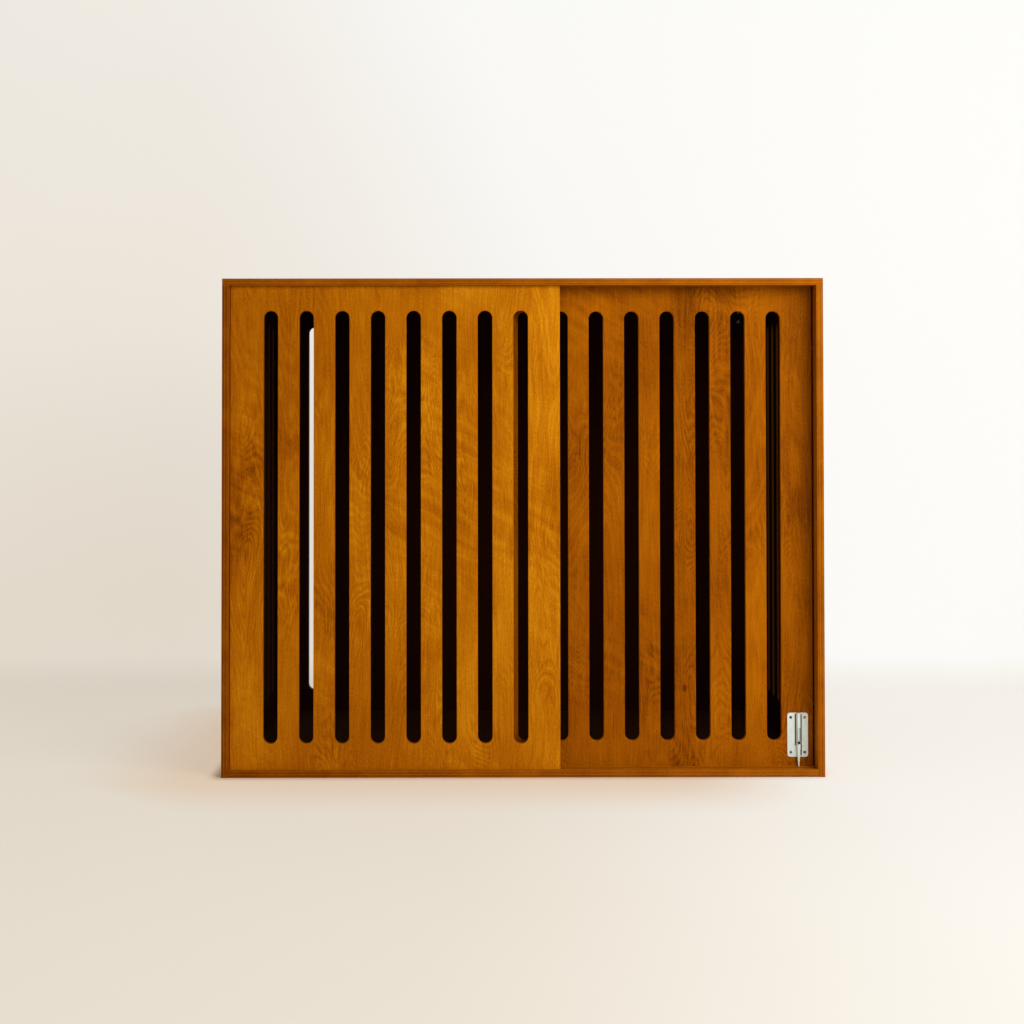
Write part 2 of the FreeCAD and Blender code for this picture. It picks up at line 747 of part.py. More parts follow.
def make_bolt_screws():
    screws = []
    for index, (across, up) in enumerate(bolt_screw_places()):
        name = "bolt_screw_%d" % (index + 1)
        head = cone(name + "_head", "bolt_head_radius", "bolt_screw_radius", "plate_thickness", axis="-z")
        shank = cylinder(name + "_shank", "bolt_screw_radius", "bolt_screw_length", axis="-z")
        whole = fuse(name + "_whole", [head, shank])
        screw = cut(name, whole, cross_recess(name, "0"))
        screws.append(place(screw, x=across, y=PLATE_FACE, z=up, axis="-y"))
    return group("bolt_screws", screws)


def make_barrel():
    """A tube on a narrow foot, with a window through which the knob slides and turns."""
    start = both(PLATE_FOOT, "+", "barrel_end_gap")
    length = "plate_height - barrel_end_gap"
    tube = cylinder("barrel_tube", "barrel_radius", length, x=BOLT_X, y=BOLT_Y, z=start)
    foot = block("barrel_foot", "barrel_web", "barrel_radius", length,
                 x=both(BOLT_X, "-", "barrel_web / 2"), y=BOLT_Y, z=start)
    bore = cylinder("barrel_bore", "barrel_radius - barrel_wall", both(length, "+", "2 * cut_past"),
                    x=BOLT_X, y=BOLT_Y, z=both(start, "-", "cut_past"))
    window = cylinder("barrel_window", "2 * barrel_radius", "window_length",
                      x=BOLT_X, y=BOLT_Y, z=WINDOW_FOOT)
    window.setExpression("Angle", named("knob_turn + 2 * window_margin"))
    window.setExpression("Placement.Rotation.Angle", named("(270 - window_margin) * 1 deg"))
    barrel = cut("bolt_barrel", fuse("barrel_body", [tube, foot]), fuse("barrel_cutters", [bore, window]))
    barrel.Label = "bolt_barrel"
    return barrel


def make_rod():
    """A rod with a thin neck behind the window, a full-width foot below it and a tapered nose."""
    neck = cylinder("rod_neck", "rod_neck_radius", both(PLATE_HEAD, "-", WINDOW_FOOT),
                    x=BOLT_X, y=BOLT_Y, z=WINDOW_FOOT)
    shaft = cylinder("rod_shaft", ROD_RADIUS, both(WINDOW_FOOT, "-", ROD_FOOT),
                     x=BOLT_X, y=BOLT_Y, z=ROD_FOOT)
    nose = cone("rod_nose", "rod_nose_radius", ROD_RADIUS, "rod_nose_length",
                x=BOLT_X, y=BOLT_Y, z=NOSE_FOOT)
    bore = cylinder("rod_tip_bore", "tip_radius + fit_play", "tip_bore_depth",
                    x=BOLT_X, y=BOLT_Y, z=NOSE_FOOT)
    cross = cylinder("rod_knob_hole", "knob_shank_radius + fit_play", "knob_shank_depth + cut_past",
                     x=BOLT_X, y=KNOB_ROOT, z=KNOB_Z, axis="-y")
    rod = cut("bolt_rod", fuse("rod_whole", [neck, shaft, nose]), fuse("rod_holes", [bore, cross]))
    rod.Label = "bolt_rod"
    return rod


def make_tip():
    foot = both(FLOOR, "+", "tip_floor_gap")
    height = both(both(NOSE_FOOT, "+", "tip_bore_depth - seat_gap"), "-", foot)
    tip = cylinder("bolt_tip_pin", "tip_radius", height, x=BOLT_X, y=BOLT_Y, z=foot)
    tip.Label = "bolt_tip_pin"
    return tip


def make_knob():
    """A round knob whose crown stays behind the front door's path."""
    crown = both(FRONT_FACE, "+", "door_thickness + knob_door_gap + knob_chamfer")
    base = both(BOLT_Y, "-", both(ROD_RADIUS, "+", "seat_gap"))
    shank = cylinder("knob_shank", "knob_shank_radius", both(KNOB_ROOT, "-", crown),
                     x=BOLT_X, y=KNOB_ROOT, z=KNOB_Z, axis="-y")
    head = cylinder("knob_head", "knob_radius", both(base, "-", crown), x=BOLT_X, y=base, z=KNOB_Z, axis="-y")
    tip = cone("knob_crown", "knob_radius", "knob_radius - knob_chamfer", "knob_chamfer",
               x=BOLT_X, y=crown, z=KNOB_Z, axis="-y")
    knob = fuse("bolt_knob", [shank, head, tip])
    knob.Label = "bolt_knob"
    return knob


# ---------------------------------------------------------------- the whole

nodes = [make_top(), make_bottom()]
nodes.append(make_side("left", MINUS % HALF_WIDTH))
nodes.append(make_side("right", INNER_HALF))
nodes.append(make_back())
nodes.append(make_door("front_door_panel", FRONT_FACE, FRONT_DOOR_LEFT,
                       "front_door_width", "front_first_slot"))
nodes.append(make_door("rear_door_panel", REAR_FACE, REAR_DOOR_LEFT,
                       "rear_door_width", REAR_FIRST_SLOT))
nodes.append(make_glides("front_door_glides", FRONT_FACE, FRONT_DOOR_LEFT, "front_door_width"))
nodes.append(make_glides("rear_door_glides", REAR_FACE, REAR_DOOR_LEFT, "rear_door_width"))
nodes.append(make_stops("left", MINUS % INNER_HALF, "+x"))
nodes.append(make_stops("right", INNER_HALF, "-x"))
nodes.extend(make_dowels())
nodes.extend(make_brackets())
nodes.extend([make_plate(), make_barrel(), make_rod(), make_tip(), make_knob(), make_bolt_screws()])
doc.recompute()

for item in doc.Objects:
    if "Invalid" in item.State or "Error" in item.State:
        raise RuntimeError("%s failed: %s" % (item.Name, item.State))
for node in nodes:
    if node.Shape.isNull() or not node.Shape.isValid():
        raise RuntimeError(node.Label + " has no valid shape")

os.makedirs("parts", exist_ok=True)
for node in nodes:
    node.Shape.exportStep("parts/%s.step" % node.Label)
    print(node.Label, len(node.Shape.Solids), round(node.Shape.Volume))
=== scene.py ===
import math

import bmesh
import bpy
from mathutils import Matrix, Vector


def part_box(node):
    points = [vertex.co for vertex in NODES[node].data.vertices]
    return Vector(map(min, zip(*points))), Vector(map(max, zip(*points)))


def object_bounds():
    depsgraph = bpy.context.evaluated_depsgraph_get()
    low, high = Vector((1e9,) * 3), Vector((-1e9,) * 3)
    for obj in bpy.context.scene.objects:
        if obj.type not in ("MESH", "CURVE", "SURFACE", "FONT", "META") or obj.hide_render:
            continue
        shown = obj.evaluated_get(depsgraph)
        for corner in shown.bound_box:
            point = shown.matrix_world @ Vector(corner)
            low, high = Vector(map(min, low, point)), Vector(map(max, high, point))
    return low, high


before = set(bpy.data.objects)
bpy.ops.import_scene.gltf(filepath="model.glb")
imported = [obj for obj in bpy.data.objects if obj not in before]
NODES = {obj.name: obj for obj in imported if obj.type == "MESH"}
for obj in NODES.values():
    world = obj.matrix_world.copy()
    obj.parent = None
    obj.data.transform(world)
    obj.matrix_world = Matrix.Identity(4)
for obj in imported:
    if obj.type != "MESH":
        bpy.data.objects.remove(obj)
cad_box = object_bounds()

# A dog crate that serves as an end table. Metres, +Z up, -Y is the front. The boards, doors and
# fittings come from the frame; this script gives them their finish, the studio and the camera.

AXES = "xyz"
MM = 0.001

# Where a mix node keeps its colours among its sockets.
MIX_FIRST_COLOUR = 6
MIX_SECOND_COLOUR = 7
MIX_COLOUR_RESULT = 2

PURE_WHITE = (1.0, 1.0, 1.0, 1.0)


# ------------------------------------------------------------------ small helpers

def linear(red, green, blue):
    """A colour given as it looks on a screen (0 to 255), as the linear numbers that a shader takes."""
    values = []
    for part in (red, green, blue):
        part = part / 255
        values.append(part / 12.92 if part <= 0.04045 else ((part + 0.055) / 1.055) ** 2.4)
    return (*values, 1.0)


class Nodes:
    """A tree of shader nodes, filled by short calls that most often give an output socket."""

    def __init__(self, tree):
        self.tree = tree

    def new(self, kind):
        return self.tree.nodes.new(kind)

    def feed(self, socket, value):
        """Links a socket to an output, or sets it to a constant."""
        if isinstance(value, bpy.types.NodeSocket):
            self.tree.links.new(value, socket)
        elif value is not None:
            socket.default_value = value

    def math(self, operation, *values):
        node = self.new("ShaderNodeMath")
        node.operation = operation
        for socket, value in zip(node.inputs, values):
            self.feed(socket, value)
        return node.outputs[0]

    def add(self, *values):
        total = values[0]
        for value in values[1:]:
            total = self.math("ADD", total, value)
        return total

    def minus(self, first, second):
        return self.math("SUBTRACT", first, second)

    def times(self, first, second):
        return self.math("MULTIPLY", first, second)

    def larger(self, first, second):
        return self.math("MAXIMUM", first, second)

    def distance(self, first, second):
        """How far off a place is that lies this far away on two axes at right angles."""
        return self.math("SQRT", self.add(self.times(first, first), self.times(second, second)))

    def split(self, vector):
        node = self.new("ShaderNodeSeparateXYZ")
        self.feed(node.inputs[0], vector)
        return node.outputs[0], node.outputs[1], node.outputs[2]

    def join(self, x, y, z):
        node = self.new("ShaderNodeCombineXYZ")
        for socket, value in zip(node.inputs, (x, y, z)):
            self.feed(socket, value)
        return node.outputs[0]

    def noise(self, vector, scale, detail, roughness=0.5, distortion=0.0):
        """Soft hills between 0 and 1, which seldom go far from 0.5."""
        node = self.new("ShaderNodeTexNoise")
        self.feed(node.inputs["Vector"], vector)
        node.inputs["Scale"].default_value = scale
        node.inputs["Detail"].default_value = detail
        node.inputs["Roughness"].default_value = roughness
        node.inputs["Distortion"].default_value = distortion
        return node.outputs[0]

    def drawn_noise(self, places, scales, detail, roughness):
        """Noise over three numbers, each of them on its own scale."""
        scaled = [self.times(place, scale) for place, scale in zip(places, scales)]
        return self.noise(self.join(*scaled), 1.0, detail, roughness)

    def span(self, value, low, high, to_low=0.0, to_high=1.0, smooth=False):
        """The value moved from one range to another, and held there."""
        node = self.new("ShaderNodeMapRange")
        node.interpolation_type = "SMOOTHSTEP" if smooth else "LINEAR"
        node.clamp = True
        for socket, number in zip(node.inputs, (value, low, high, to_low, to_high)):
            self.feed(socket, number)
        return node.outputs[0]

    def sway(self, value, reach, amount):
        """From -amount to amount, while the value goes from reach under 0.5 to reach over it."""
        return self.span(value, 0.5 - reach, 0.5 + reach, -amount, amount)

    def between(self, factor, first, second):
        """The first number where the factor is 0, and the second where it is 1."""
        return self.span(factor, 0.0, 1.0, first, second)

    def crests(self, wave, top, sharpness):
        """Thin lines where a wave between -1 and 1 reaches its top, which is either of the two."""
        return self.math("POWER", self.span(wave, -top, top), sharpness)

    def ramp(self, value, stops):
        """A colour ramp through (place, colour) stops."""
        node = self.new("ShaderNodeValToRGB")
        self.feed(node.inputs[0], value)
        band = node.color_ramp
        while len(band.elements) < len(stops):
            band.elements.new(0.5)
        for element, (place, colour) in zip(band.elements, stops):
            element.position = place
            element.color = colour
        return node.outputs[0]

    def mix(self, factor, first, second, blend="MIX"):
        """One colour where the factor is 0, and the other where it is 1."""
        node = self.new("ShaderNodeMix")
        node.data_type = "RGBA"
        node.blend_type = blend
        self.feed(node.inputs["Factor"], factor)
        self.feed(node.inputs[MIX_FIRST_COLOUR], first)
        self.feed(node.inputs[MIX_SECOND_COLOUR], second)
        return node.outputs[MIX_COLOUR_RESULT]

    def blend(self, factor, first, second):
        """One shader where the factor is 0, and the other where it is 1."""
        node = self.new("ShaderNodeMixShader")
        for socket, value in zip(node.inputs, (factor, first, second)):
            self.feed(socket, value)
        return node.outputs[0]

    def bump(self, height, distance, strength):
        node = self.new("ShaderNodeBump")
        self.feed(node.inputs["Height"], height)
        node.inputs["Distance"].default_value = distance
        node.inputs["Strength"].default_value = strength
        return node.outputs[0]


class Shader(Nodes):
    """The node tree of one new material, with the place on the object and the way the surface faces."""

    def __init__(self, name):
        self.material = bpy.data.materials.new(name)
        self.material.use_nodes = True
        super().__init__(self.material.node_tree)
        self.tree.nodes.clear()
        coordinates = self.new("ShaderNodeTexCoord")
        self.place = coordinates.outputs["Object"]
        self.normal = coordinates.outputs["Normal"]

    def within(self, low, high):
        """1 inside the box between these corners, and 0 outside it."""
        held = 1.0
        for part, near, far in zip(self.split(self.place), low, high):
            past = self.math("GREATER_THAN", part, near)
            short = self.math("LESS_THAN", part, far)
            held = self.times(held, self.times(past, short))
        return held

    def finish(self, colour, roughness, normal, metallic=0.0, specular=0.5, tint=PURE_WHITE):
        """Ends the tree in a surface of these qualities, and gives the material."""
        surface = self.new("ShaderNodeBsdfPrincipled")
        self.feed(surface.inputs["Base Color"], colour)
        self.feed(surface.inputs["Roughness"], roughness)
        self.feed(surface.inputs["Normal"], normal)
        surface.inputs["Metallic"].default_value = metallic
        surface.inputs["Specular IOR Level"].default_value = specular
        surface.inputs["Specular Tint"].default_value = tint
        return self.end(surface.outputs[0])

    def end(self, surface):
        """Ends the tree in this shader, and gives the material."""
        output = self.new("ShaderNodeOutputMaterial")
        self.feed(output.inputs[0], surface)
        return self.material


def dress(material, *nodes):
    """Gives the nodes one material in every slot."""
    for name in nodes:
        mesh = NODES[name].data
        if not mesh.materials:
            mesh.materials.append(material)
        for index in range(len(mesh.materials)):
            mesh.materials[index] = material


# ------------------------------------------------------------------ stained plywood

# Honey stain, from where the wood took least of it to where it took most.
VENEER_STOPS = (
    (0.0, linear(205, 133, 14)),
    (0.42, linear(170, 96, 4)),
    (0.72, linear(143, 73, 2)),
    (1.0, linear(96, 40, 1)),
)
EDGE_STOPS = (
    (0.0, linear(178, 101, 9)),
    (1.0, linear(104, 45, 3)),
)
# Painted shade: the near-black colour of the faces inside the cabin and of the slot walls.
CABIN_PAINTED_SHADE = linear(38, 9, 2)
# Painted shade: the grey of the door's face where it shows through the slits beside the bolt's barrel.
PLATE_SLIT_PAINTED_SHADE = linear(92, 88, 78)

# Fields of noise in the wood: hills in a metre across and along the grain, what is added to the
# board's seed, and the noise's detail, roughness and distortion.
WARP_FIELD = (5.0, 1.6, 0.0, 2.0, 0.5, 0.0)
HILL_FIELD = (7.5, 1.35, 3.7, 2.0, 0.42, 0.0)
LINE_PATCH_FIELD = (6.0, 3.0, 9.1, 1.0, 0.5, 0.0)
CROWN_FIELD = (15.0, 4.2, 41.0, 1.5, 0.45, 0.0)
CROWN_PATCH_FIELD = (8.0, 4.5, 52.0, 1.0, 0.5, 0.0)
FIBRE_FIELD = (420.0, 16.0, 1.3, 3.0, 0.6, 0.0)
PORE_FIELD = (1500.0, 70.0, 5.9, 1.0, 0.5, 0.0)
SPECKLE_FIELD = (520.0, 240.0, 17.0, 2.0, 0.6, 0.0)
CURL_FIELD = (16.0, 62.0, 7.7, 2.0, 0.5, 0.35)
CURL_PATCH_FIELD = (5.0, 4.0, 12.4, 1.0, 0.5, 0.0)
BLOTCH_FIELD = (9.0, 4.5, 20.3, 3.0, 0.55, 0.0)
EDGE_PATCH_FIELD = (18.0, 18.0, 31.0, 2.0, 0.5, 0.0)
END_GRAIN_SCALES = (260.0, 130.0, 900.0)

# How far the slow warp bends the grain lines, how close the lines are on the hills, how thin they
# are, and how much the curl slants.
WARP_REACH = 0.022
BROAD_RINGS = 130.0
CLOSE_RINGS = 390.0
CROWN_RINGS = 240.0
BROAD_SHARPNESS = 7.0
CROWN_SHARPNESS = 9.0
CURL_SLANT = 0.55

# The part of a field's range over which lines, crowns, pores and curl come in, and what is left of
# the lines outside their patches.
LINES_COME_IN = (0.42, 0.66, 0.05)
RIPPLE_COMES_IN = (0.30, 0.62, 0.25)
CROWNS_COME_IN = (0.46, 0.62)
PORES_COME_IN = (0.64, 0.74)
CURL_COMES_IN = (0.45, 0.70)

# How much each part of the figure deepens the stain.
BLOTCH_DEPTH = 0.17
FIBRE_DEPTH = 0.13
SPECKLE_DEPTH = 0.13
LINE_DEPTH = 0.13
RIPPLE_DEPTH = 0.055
CURL_DEPTH = 0.10
PORE_DEPTH = 0.20
CROWN_DEPTH = 0.12

# The inner share of a band or spot that has its full depth, and how much longer than wide spots are.
BAND_CORE = 0.4
SPOT_CORE = 0.3
SPOT_STRETCH = 1.6

# The cut edge: its plies, and how much they, the end grain and its patches deepen the stain.
PLY_COUNT = 5
PLY_DEPTH = 0.17
END_GRAIN_DEPTH = 0.12
EDGE_PATCH_DEPTH = 0.16

# The lacquer. It is rougher on the edges, and there is none in the cabin.
LACQUER_SMOOTH = 0.40
LACQUER_ROUGH = 0.50
EDGE_DULLNESS = 0.12
CABIN_ROUGHNESS = 0.95
LACQUER_SPECULAR = 0.25
AMBER_GLOSS = (1.0, 0.48, 0.03, 1.0)

# How high each part of the figure stands, in shares of the relief's height.
FIBRE_RELIEF = 0.6
PORE_RELIEF = -0.5
LINE_RELIEF = -0.25
CROWN_RELIEF = -0.15
RELIEF_HEIGHT = 0.12 * MM
RELIEF_STRENGTH = 0.5

# The cabin's painted shade, a near-black colour on the faces inside the cabin and on the walls of the
# side boards' slots: in a slot it comes in between these depths under the outer face and the inner one,
# it keeps this far inside the board's rim, and behind the doors it comes in over this.
CABIN_FROM_OUTER = 1.5 * MM
CABIN_FROM_INNER = 5 * MM
CABIN_RIM = MM
CABIN_FADE = 8 * MM
INNER_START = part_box("rear_door_panel")[1].y


class Ply:
    """The shader of one board, with the places on it and the figure of its veneer. grain and face are
    the letters of the axes along the grain and through the board."""

    def __init__(self, node, grain, face, seed):
        self.shader = Shader("ply_" + node)
        self.seed = seed
        self.low, self.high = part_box(node)
        self.face = AXES.index(face)
        places = self.shader.split(self.shader.place)
        across = [letter for letter in AXES if letter not in (grain, face)][0]
        self.across = places[AXES.index(across)]
        self.along = places[AXES.index(grain)]
        self.through = places[self.face]
        self.back = places[1]
        self.sideways = self.shader.span(places[0], self.low[0], self.high[0], 0.5, -0.5)
        self.facing = self.shader.split(self.shader.normal)[self.face]
        level = self.shader.math("ABSOLUTE", self.facing)
        self.on_face = self.shader.span(level, 0.55, 0.8, smooth=True)
        warp = self.shader.sway(self.field(WARP_FIELD, self.across), 0.3, WARP_REACH)
        self.warped = self.shader.add(self.across, warp)
        self.fibres = self.field(FIBRE_FIELD, self.warped)
        self.pores = self.shader.span(self.field(PORE_FIELD, self.warped), *PORES_COME_IN)
        self.lines, self.ripple = self.growth_lines()
        self.dark_crowns, self.pale_crowns = self.crown_lines()

    def field(self, settings, across, along=None):
        """A field of noise over these places, or else over those along the grain."""
        across_scale, along_scale, offset, detail, roughness, distortion = settings
        if along is None:
            along = self.along
        shader = self.shader
        where = shader.join(shader.times(across, across_scale), shader.times(along, along_scale),
                            self.seed + offset)
        return shader.noise(where, 1.0, detail, roughness, distortion)

    def growth_lines(self):
        """The contours of a slow field of hills, as broad lines and as a close ripple."""
        shader = self.shader
        hills = self.field(HILL_FIELD, self.warped)
        broad = shader.crests(shader.math("SINE", shader.times(hills, BROAD_RINGS)), 1.0, BROAD_SHARPNESS)
        close = shader.math("SINE", shader.times(hills, CLOSE_RINGS))
        where = self.field(LINE_PATCH_FIELD, self.across)
        return [shader.times(wave, shader.span(where, low, high, rest, 1.0, smooth=True))
                for wave, (low, high, rest) in ((broad, LINES_COME_IN), (close, RIPPLE_COMES_IN))]

    def crown_lines(self):
        """Thin dark lines and pale ones round smaller hills, in patches."""
        shader = self.shader
        crowns = self.field(CROWN_FIELD, self.warped)
        wave = shader.math("SINE", shader.times(crowns, CROWN_RINGS))
        where = self.field(CROWN_PATCH_FIELD, self.across)
        patches = shader.span(where, *CROWNS_COME_IN, smooth=True)
        return [shader.times(shader.crests(wave, top, CROWN_SHARPNESS), patches) for top in (1.0, -1.0)]

    def curl(self):
        """Soft slanting bands across the grain, in patches."""
        shader = self.shader
        slant = shader.add(self.along, shader.times(self.across, CURL_SLANT))
        bands = self.field(CURL_FIELD, self.across, slant)
        where = self.field(CURL_PATCH_FIELD, self.across)
        return shader.times(shader.sway(bands, 0.2, 1.0), shader.span(where, *CURL_COMES_IN, smooth=True))

    def figure(self):
        """How much deeper or paler than its board a place on the veneer is."""
        shader = self.shader
        return shader.add(
            shader.sway(self.field(BLOTCH_FIELD, self.across), 0.25, BLOTCH_DEPTH),
            shader.sway(self.fibres, 0.25, FIBRE_DEPTH),
            shader.sway(self.field(SPECKLE_FIELD, self.across), 0.25, SPECKLE_DEPTH),
            shader.times(self.lines, LINE_DEPTH),
            shader.times(self.ripple, RIPPLE_DEPTH),
            shader.times(self.curl(), CURL_DEPTH),
            shader.times(self.pores, PORE_DEPTH),
            shader.times(self.dark_crowns, CROWN_DEPTH),
            shader.times(self.pale_crowns, -CROWN_DEPTH),
        )

    def veneer(self, depth, bands, spots):
        """The colour of the faces, stained to this depth."""
        shader = self.shader
        for middle, half_width, amount in bands:
            away = shader.math("ABSOLUTE", shader.minus(self.across, middle))
            more = shader.span(away, BAND_CORE * half_width, half_width, amount, 0.0, smooth=True)
            depth = shader.add(depth, more)
        for spot_across, spot_along, radius, amount in spots:
            away = shader.distance(
                shader.minus(self.across, spot_across),
                shader.times(shader.minus(self.along, spot_along), 1.0 / SPOT_STRETCH))
            more = shader.span(away, SPOT_CORE * radius, radius, amount, 0.0, smooth=True)
            depth = shader.add(depth, more)
        return shader.ramp(depth, VENEER_STOPS)

    def edge(self, depth):
        """The colour of the cut edges: plies that take the stain in turn lightly and deeply."""
        shader = self.shader
        thickness = self.high[self.face] - self.low[self.face]
        level = shader.times(shader.minus(self.through, self.low[self.face]), PLY_COUNT / thickness)
        ply = shader.span(shader.math("PINGPONG", level, 1.0), 0.2, 0.8, smooth=True)
        places = (self.across, self.along, self.through)
        end_grain = shader.drawn_noise(places, END_GRAIN_SCALES, 2.0, 0.6)
        patches = self.field(EDGE_PATCH_FIELD, self.across)
        return shader.ramp(shader.add(
            depth,
            shader.sway(ply, 0.5, PLY_DEPTH),
            shader.sway(end_grain, 0.2, END_GRAIN_DEPTH),
            shader.sway(patches, 0.2, EDGE_PATCH_DEPTH),
        ), EDGE_STOPS)

    def cabin(self, sign, colour, rough):
        """The colour and roughness with the cabin's painted shade, a near-black colour which lies behind
        the doors on the face that looks this way and in the walls of the slots near it."""
        shader = self.shader
        turned = shader.span(shader.times(self.facing, sign), 0.6, 0.9)
        outer, inner = (self.low, self.high) if sign > 0 else (self.high, self.low)
        sunk = shader.span(self.through, outer[self.face] + sign * CABIN_FROM_OUTER,
                           inner[self.face] - sign * CABIN_FROM_INNER)
        rim = Vector((CABIN_RIM, CABIN_RIM, CABIN_RIM))
        rim[self.face] = -CABIN_RIM
        slotted = shader.within(self.low + rim, self.high - rim)
        walled = shader.times(shader.times(shader.minus(1.0, self.on_face), sunk), slotted)
        behind = shader.span(self.back, INNER_START, INNER_START + CABIN_FADE)
        # Painted shade inside the cabin.
        colour = shader.mix(shader.times(shader.larger(turned, walled), behind), colour, CABIN_PAINTED_SHADE)
        return colour, shader.between(shader.times(turned, behind), rough, CABIN_ROUGHNESS)

    def relief(self):
        shader = self.shader
        height = shader.add(
            shader.times(self.fibres, FIBRE_RELIEF),
            shader.times(self.pores, PORE_RELIEF),
            shader.times(self.lines, LINE_RELIEF),
            shader.times(self.dark_crowns, CROWN_RELIEF),
        )
        return shader.bump(height, RELIEF_HEIGHT, RELIEF_STRENGTH)


def plywood(node, grain, face, stain, seed, edge_stain=0.5, drift=(0.0, 0.0), strength=1.0,
            dullness=0.0, cabin=0, bands=(), spots=(), masks=()):
    """Stained and lacquered plywood for one board.

    grain and face are the letters of the axes along the grain and through the board. stain goes from
    0, pale, to 1, deep, and edge_stain is the same for the cut edges. drift is how much deeper the
    faces and the edges are at the board's left end than at its right, a painted shade where less light
    falls. strength is how plainly the figure shows, and dullness is how much rougher the lacquer is
    than the doors'. cabin is 1 or -1 where the face that looks that way along its axis is inside the
    cabin, which gets painted shade. bands are (across, half_width, amount) and spots are (across,
    along, radius, amount), in metres: stripes along the grain and round places, such as knots, that
    are so much deeper. masks are (low, high, colour): boxes within which the board has another
    colour, such as painted shade."""
    ply = Ply(node, grain, face, seed)
    shader = ply.shader
    face_drift, edge_drift = drift
    depth = shader.add(stain, shader.times(ply.sideways, face_drift), shader.times(ply.figure(), strength))
    edge_depth = shader.add(edge_stain, shader.times(ply.sideways, edge_drift))
    colour = shader.mix(ply.on_face, ply.edge(edge_depth), ply.veneer(depth, bands, spots))
    rough = shader.add(shader.span(ply.fibres, 0.2, 0.8, LACQUER_SMOOTH, LACQUER_ROUGH),
                       shader.between(ply.on_face, EDGE_DULLNESS, 0.0), dullness)
    if cabin:
        colour, rough = ply.cabin(cabin, colour, rough)
    for low, high, mask_colour in masks:
        colour = shader.mix(shader.within(low, high), colour, mask_colour)
    return shader.finish(colour, rough, ply.relief(), specular=LACQUER_SPECULAR, tint=AMBER_GLOSS)


def board(node, **figure):
    dress(plywood(node, **figure), node)


PLATE_LOW, PLATE_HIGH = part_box("bolt_base_plate")
PLATE_MIDDLE = (PLATE_LOW + PLATE_HIGH) / 2
# The box of the door's face behind the bolt plate that gets the painted shade.
PLATE_SLIT_SHADE_BOX = (PLATE_LOW + Vector((MM, -MM, MM)), PLATE_HIGH + Vector((-MM, 3 * MM, -MM)))

FRONT_DOOR_PALE_CORNER = (-0.490, 0.110, 0.110, -0.16)
# Two bands of stain, and a third on the stile by the right wall that is painted shade.
REAR_DOOR_STAIN_AND_SHADE_BANDS = ((0.282, 0.034, 0.12), (0.406, 0.034, -0.12), (0.478, 0.034, 0.06))
REAR_DOOR_KNOTS = ((0.282, 0.148, 0.005, 0.75), (0.243, 0.073, 0.004, 0.75))

# The drifts and the left side's deeper edge are partly painted shade: the boards are darker on the side
# where less light falls from the right.
board("top_panel", grain="x", face="z", stain=0.55, seed=1.0, edge_stain=0.55, drift=(0.0, 0.30),
      dullness=0.30, cabin=-1)
board("bottom_panel", grain="x", face="z", stain=0.55, seed=2.0, edge_stain=0.67, drift=(0.0, 0.25),
      cabin=1)
board("left_side_panel", grain="z", face="x", stain=0.60, seed=3.0, edge_stain=0.85, dullness=0.12,
      cabin=1)
board("right_side_panel", grain="z", face="x", stain=0.50, seed=4.0, edge_stain=0.52, dullness=0.12,
      cabin=-1)
board("back_panel", grain="z", face="y", stain=0.50, seed=5.0, cabin=-1)
board("front_door_panel", grain="z", face="y", stain=0.42, seed=6.0, drift=(0.22, 0.0), strength=1.2,
      spots=(FRONT_DOOR_PALE_CORNER,))
board("rear_door_panel", grain="z", face="y", stain=0.70, seed=7.0, drift=(-0.05, 0.0), strength=0.9,
      bands=REAR_DOOR_STAIN_AND_SHADE_BANDS, spots=REAR_DOOR_KNOTS, masks=((*PLATE_SLIT_SHADE_BOX, PLATE_SLIT_PAINTED_SHADE),))


# ------------------------------------------------------------------ fittings

# The brush marks and clouds of satin steel, and how they change its shade and roughness.
BRUSH_SCALES = (2600.0, 2600.0, 60.0)
STEEL_CLOUDS = 240.0
BRUSH_SHADES = (0.85, 1.05)
STEEL_CLOUD_SHADE = 0.05
BRUSH_SMOOTHER = 0.06
BRUSH_ROUGHER = 0.08
BRUSH_HEIGHT = 0.02 * MM
BRUSH_STRENGTH = 0.6

SPECKLE_HEIGHT = 0.05 * MM
SPECKLE_STRENGTH = 0.4
SPECKLE_ROUGHNESS = 0.05

# The bolt's four screws, each with its own colour as the photograph shows it.
UPPER_LEFT_SCREW = linear(52, 48, 42)
UPPER_RIGHT_SCREW = linear(172, 122, 40)
LOWER_LEFT_SCREW = linear(128, 96, 66)
LOWER_RIGHT_SCREW = linear(58, 52, 44)
TARNISH_SCALE = 1500.0
TARNISH_HEIGHT = 0.03 * MM
TARNISH_STRENGTH = 0.5


def brushed_steel(name, colour, roughness, metallic=1.0, bore_shade=None):
    """Satin steel with fine upright brush marks. The last argument is (x, y, radius, colour): nearer the
    upright line through x and y than the radius, the steel has the other colour, a painted shade in a
    bore."""
    shader = Shader(name)
    places = shader.split(shader.place)
    marks = shader.drawn_noise(places, BRUSH_SCALES, 3.0, 0.6)
    cloud = shader.noise(shader.place, STEEL_CLOUDS, 2.0)
    shade = shader.add(shader.span(marks, 0.3, 0.7, *BRUSH_SHADES),
                       shader.sway(cloud, 0.2, STEEL_CLOUD_SHADE))
    tint = shader.mix(1.0, colour, shader.join(shade, shade, shade), "MULTIPLY")
    if bore_shade:
        bore_x, bore_y, radius, bore_shade_colour = bore_shade
        # Painted shade in the bore.
        away = shader.distance(shader.minus(places[0], bore_x), shader.minus(places[1], bore_y))
        tint = shader.mix(shader.math("LESS_THAN", away, radius), tint, bore_shade_colour)
    rough = shader.span(marks, 0.2, 0.8, roughness - BRUSH_SMOOTHER, roughness + BRUSH_ROUGHER)
    normal = shader.bump(marks, BRUSH_HEIGHT, BRUSH_STRENGTH)
    return shader.finish(tint, rough, normal, metallic=metallic)


